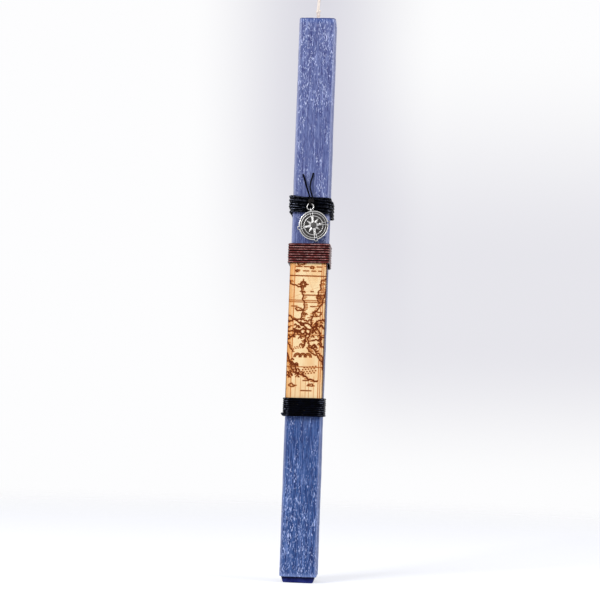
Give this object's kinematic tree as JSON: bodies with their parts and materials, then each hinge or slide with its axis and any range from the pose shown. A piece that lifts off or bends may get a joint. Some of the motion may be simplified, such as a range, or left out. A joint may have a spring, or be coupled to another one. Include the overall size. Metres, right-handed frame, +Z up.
{
  "type": "easter candle",
  "caption": "Tall square wax candle on a tapered foot, with an engraved wooden plate, cord windings and a compass charm hanging from a ring.",
  "frame": {"origin": "middle of the face of the foot that the candle stands on", "axes": "+Z up along the candle to its wick, -Y out of the face that carries the plate and the charm, +X to the right as seen from that face"},
  "size_m": [0.0321, 0.0353, 0.43],
  "materials": {
    "wax": "blue candle wax, brushed along its length so that pale flecks show",
    "wick_cotton": "plaited cream cotton, stiff with wax",
    "black_cord": "waxed cotton cord with a dull gloss",
    "leather_cord": "round brown leather cord, lightly polished",
    "plywood": "pale plywood with laser-burnt lines and edges",
    "ring_wire": "bright plated wire",
    "charm_metal": "antiqued silver-coloured casting, dark in its hollows"
  },
  "bodies": {
    "candle": {"candle_body": "wax", "wick": "wick_cotton", "upper_winding": "black_cord", "charm_tie": "black_cord", "leather_winding": "leather_cord", "map_plate": "plywood", "lower_winding": "black_cord"},
    "ring": {"jump_ring": "ring_wire"},
    "charm": {"compass_charm": "charm_metal"}
  },
  "joints": [
    {"name": "ring_swing", "type": "hinge", "parent": "candle", "child": "ring", "pos_m": [-0.0002, -0.01776, 0.26497], "axis": [-1, 0, 0], "range_deg": [0, 110]},
    {"name": "charm_swing", "type": "hinge", "parent": "ring", "child": "charm", "pos_m": [-0.0002, -0.01776, 0.26267], "axis": [0, -1, 0], "range_deg": [-72, 48]}
  ]
}
